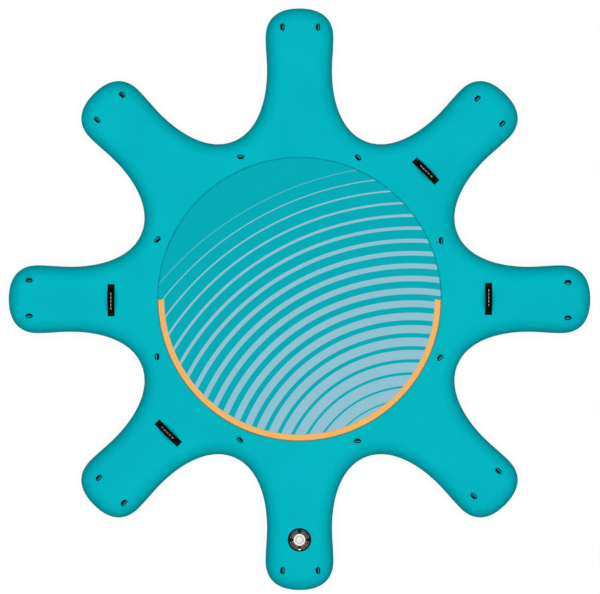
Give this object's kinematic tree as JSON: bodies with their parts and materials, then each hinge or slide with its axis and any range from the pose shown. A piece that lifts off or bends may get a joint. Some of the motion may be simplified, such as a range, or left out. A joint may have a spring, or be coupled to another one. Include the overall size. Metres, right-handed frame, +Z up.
{
  "type": "inflatable yoga platform",
  "caption": "Flat inflatable raft shaped like a star with rounded arms, a round foam deck in the middle, tie-down rings, carry handles and an air valve.",
  "frame": {"origin": "on the floor, below the middle of the platform", "axes": "+Z up out of the deck, +X along the first arm, -Y along the arm that has the valve"},
  "size_m": [2.9, 2.9, 0.1918],
  "materials": {
    "hull_fabric": "satin",
    "core_fabric": "matte",
    "pad_foam": "matte",
    "border_foam": "matte",
    "webbing": "matte",
    "grip_cloth": "matte",
    "ring_steel": "polished",
    "valve_patch_rubber": "satin",
    "valve_plastic": "satin",
    "cap_plastic": "satin",
    "valve_rubber": "matte",
    "spring_steel": "satin"
  },
  "bodies": {
    "platform": {"top_skin": "hull_fabric", "bottom_skin": "hull_fabric", "drop_stitch_core": "core_fabric", "core_upper_cloth": "core_fabric", "side_wall_1": "hull_fabric", "side_wall_2": "hull_fabric", "side_wall_3": "hull_fabric", "side_wall_4": "hull_fabric", "side_wall_5": "hull_fabric", "side_wall_6": "hull_fabric", "side_wall_7": "hull_fabric", "side_wall_8": "hull_fabric", "deck_pad": "pad_foam", "deck_pad_border": "border_foam", "handle_base_1": "webbing", "handle_base_2": "webbing", "handle_base_3": "webbing", "handle_base_4": "webbing", "valve_patch": "valve_patch_rubber", "valve_gasket": "valve_rubber", "valve_body": "valve_plastic", "valve_nut": "valve_plastic", "valve_spring": "spring_steel", "valve_tether_ring": "valve_rubber"},
    "valve_cap_tether": {"valve_cap_tether": "valve_rubber"},
    "valve_cap": {"valve_cap": "cap_plastic", "valve_cap_seal": "valve_rubber"},
    "valve_poppet": {"valve_poppet": "valve_plastic", "valve_seal": "valve_rubber"},
    "valve_button": {"valve_button": "valve_plastic"},
    "handle_1": {"handle_grip_1": "grip_cloth"},
    "handle_2": {"handle_grip_2": "grip_cloth"},
    "handle_3": {"handle_grip_3": "grip_cloth"},
    "handle_4": {"handle_grip_4": "grip_cloth"},
    "ring_01": {"d_ring_01": "ring_steel"},
    "ring_02": {"d_ring_02": "ring_steel"},
    "ring_03": {"d_ring_03": "ring_steel"},
    "ring_04": {"d_ring_04": "ring_steel"},
    "ring_05": {"d_ring_05": "ring_steel"},
    "ring_06": {"d_ring_06": "ring_steel"},
    "ring_07": {"d_ring_07": "ring_steel"},
    "ring_08": {"d_ring_08": "ring_steel"},
    "ring_09": {"d_ring_09": "ring_steel"},
    "ring_10": {"d_ring_10": "ring_steel"},
    "ring_11": {"d_ring_11": "ring_steel"},
    "ring_12": {"d_ring_12": "ring_steel"},
    "ring_13": {"d_ring_13": "ring_steel"},
    "ring_14": {"d_ring_14": "ring_steel"},
    "ring_15": {"d_ring_15": "ring_steel"},
    "ring_16": {"d_ring_16": "ring_steel"},
    "ring_17": {"d_ring_17": "ring_steel"},
    "ring_18": {"d_ring_18": "ring_steel"},
    "ring_19": {"d_ring_19": "ring_steel"},
    "ring_20": {"d_ring_20": "ring_steel"},
    "ring_21": {"d_ring_21": "ring_steel"},
    "ring_22": {"d_ring_22": "ring_steel"},
    "ring_23": {"d_ring_23": "ring_steel"},
    "ring_24": {"d_ring_24": "ring_steel"}
  },
  "joints": [
    {"name": "valve_cap_flip", "type": "hinge", "parent": "platform", "child": "valve_cap_tether", "pos_m": [0, -1.1625, 0.15605], "axis": [-1, 0, 0], "range_deg": [0, 165]},
    {"name": "valve_cap_turn", "type": "hinge", "parent": "valve_cap_tether", "child": "valve_cap", "pos_m": [0, -1.196, 0.1552], "axis": [0, 0, 1], "range_deg": [0, 90]},
    {"name": "valve_poppet_press", "type": "slide", "parent": "platform", "child": "valve_poppet", "axis": [0, 0, -1], "range_m": [0, 0.004], "stiffness_N_per_m": 600, "springref_m": -0.003, "deforming": ["valve_spring"]},
    {"name": "valve_button_turn", "type": "hinge", "parent": "valve_poppet", "child": "valve_button", "pos_m": [0, -1.196, 0.1412], "axis": [0, 0, 1], "range_deg": [0, 90]},
    {"name": "handle_1_rock", "type": "hinge", "parent": "platform", "child": "handle_1", "pos_m": [0.9394, 0.0015, 0.1643], "axis": [0, 1, 0], "range_deg": [-35, 35], "stiffness_Nm_per_rad": 0.3},
    {"name": "handle_2_rock", "type": "hinge", "parent": "platform", "child": "handle_2", "pos_m": [0.62749, 0.63739, 0.1643], "axis": [-0.7071, 0.7071, 0], "range_deg": [-35, 35], "stiffness_Nm_per_rad": 0.3},
    {"name": "handle_3_rock", "type": "hinge", "parent": "platform", "child": "handle_3", "pos_m": [-0.9364, -0.005, 0.1643], "axis": [0, -1, 0], "range_deg": [-35, 35], "stiffness_Nm_per_rad": 0.3},
    {"name": "handle_4_rock", "type": "hinge", "parent": "platform", "child": "handle_4", "pos_m": [-0.65259, -0.66532, 0.1643], "axis": [0.7071, -0.7071, 0], "range_deg": [-35, 35], "stiffness_Nm_per_rad": 0.3},
    {"name": "ring_01_hinge", "type": "hinge", "parent": "platform", "child": "ring_01", "pos_m": [1.3344, 0.08695, 0.1547], "axis": [-1, 0, 0], "range_deg": [0, 165]},
    {"name": "ring_02_hinge", "type": "hinge", "parent": "platform", "child": "ring_02", "pos_m": [1.3344, -0.08905, 0.1547], "axis": [-1, 0, 0], "range_deg": [0, 165]},
    {"name": "ring_03_hinge", "type": "hinge", "parent": "platform", "child": "ring_03", "pos_m": [0.88137, 1.0001, 0.1547], "axis": [-0.7071, -0.7071, 0], "range_deg": [0, 165]},
    {"name": "ring_04_hinge", "type": "hinge", "parent": "platform", "child": "ring_04", "pos_m": [1.00582, 0.87565, 0.1547], "axis": [-0.7071, -0.7071, 0], "range_deg": [0, 165]},
    {"name": "ring_05_hinge", "type": "hinge", "parent": "platform", "child": "ring_05", "pos_m": [-0.08745, 1.3529, 0.1547], "axis": [0, -1, 0], "range_deg": [0, 165]},
    {"name": "ring_06_hinge", "type": "hinge", "parent": "platform", "child": "ring_06", "pos_m": [0.08855, 1.3529, 0.1547], "axis": [0, -1, 0], "range_deg": [0, 165]},
    {"name": "ring_07_hinge", "type": "hinge", "parent": "platform", "child": "ring_07", "pos_m": [-1.00809, 0.88936, 0.1547], "axis": [0.7071, -0.7071, 0], "range_deg": [0, 165]},
    {"name": "ring_08_hinge", "type": "hinge", "parent": "platform", "child": "ring_08", "pos_m": [-0.88364, 1.01381, 0.1547], "axis": [0.7071, -0.7071, 0], "range_deg": [0, 165]},
    {"name": "ring_09_hinge", "type": "hinge", "parent": "platform", "child": "ring_09", "pos_m": [-1.3442, -0.07905, 0.1547], "axis": [-1, 0, 0], "range_deg": [0, 165]},
    {"name": "ring_10_hinge", "type": "hinge", "parent": "platform", "child": "ring_10", "pos_m": [-1.3442, 0.09695, 0.1547], "axis": [-1, 0, 0], "range_deg": [0, 165]},
    {"name": "ring_11_hinge", "type": "hinge", "parent": "platform", "child": "ring_11", "pos_m": [-0.87536, -1.00978, 0.1547], "axis": [-0.7071, -0.7071, 0], "range_deg": [0, 165]},
    {"name": "ring_12_hinge", "type": "hinge", "parent": "platform", "child": "ring_12", "pos_m": [-0.99981, -0.88533, 0.1547], "axis": [-0.7071, -0.7071, 0], "range_deg": [0, 165]},
    {"name": "ring_13_hinge", "type": "hinge", "parent": "platform", "child": "ring_13", "pos_m": [0.08855, -1.3487, 0.1547], "axis": [0, -1, 0], "range_deg": [0, 165]},
    {"name": "ring_14_hinge", "type": "hinge", "parent": "platform", "child": "ring_14", "pos_m": [-0.08745, -1.3487, 0.1547], "axis": [0, -1, 0], "range_deg": [0, 165]},
    {"name": "ring_15_hinge", "type": "hinge", "parent": "platform", "child": "ring_15", "pos_m": [0.9873, -0.85571, 0.1547], "axis": [0.7071, -0.7071, 0], "range_deg": [0, 165]},
    {"name": "ring_16_hinge", "type": "hinge", "parent": "platform", "child": "ring_16", "pos_m": [0.86285, -0.98016, 0.1547], "axis": [0.7071, -0.7071, 0], "range_deg": [0, 165]},
    {"name": "ring_17_hinge", "type": "hinge", "parent": "platform", "child": "ring_17", "pos_m": [0.70022, 0.29126, 0.1547], "axis": [0, -1, 0], "range_deg": [0, 165]},
    {"name": "ring_18_hinge", "type": "hinge", "parent": "platform", "child": "ring_18", "pos_m": [0.28863, 0.70239, 0.1547], "axis": [0.7071, -0.7071, 0], "range_deg": [0, 165]},
    {"name": "ring_19_hinge", "type": "hinge", "parent": "platform", "child": "ring_19", "pos_m": [-0.29183, 0.7042, 0.1547], "axis": [1, 0, 0], "range_deg": [0, 165]},
    {"name": "ring_20_hinge", "type": "hinge", "parent": "platform", "child": "ring_20", "pos_m": [-0.70333, 0.29498, 0.1547], "axis": [0.7071, 0.7071, 0], "range_deg": [0, 165]},
    {"name": "ring_21_hinge", "type": "hinge", "parent": "platform", "child": "ring_21", "pos_m": [-0.70503, -0.28514, 0.1547], "axis": [0, 1, 0], "range_deg": [0, 165]},
    {"name": "ring_22_hinge", "type": "hinge", "parent": "platform", "child": "ring_22", "pos_m": [-0.29361, -0.6974, 0.1547], "axis": [-0.7071, 0.7071, 0], "range_deg": [0, 165]},
    {"name": "ring_23_hinge", "type": "hinge", "parent": "platform", "child": "ring_23", "pos_m": [0.28764, -0.70063, 0.1547], "axis": [-1, 0, 0], "range_deg": [0, 165]},
    {"name": "ring_24_hinge", "type": "hinge", "parent": "platform", "child": "ring_24", "pos_m": [0.69636, -0.28776, 0.1547], "axis": [-0.7071, -0.7071, 0], "range_deg": [0, 165]}
  ]
}
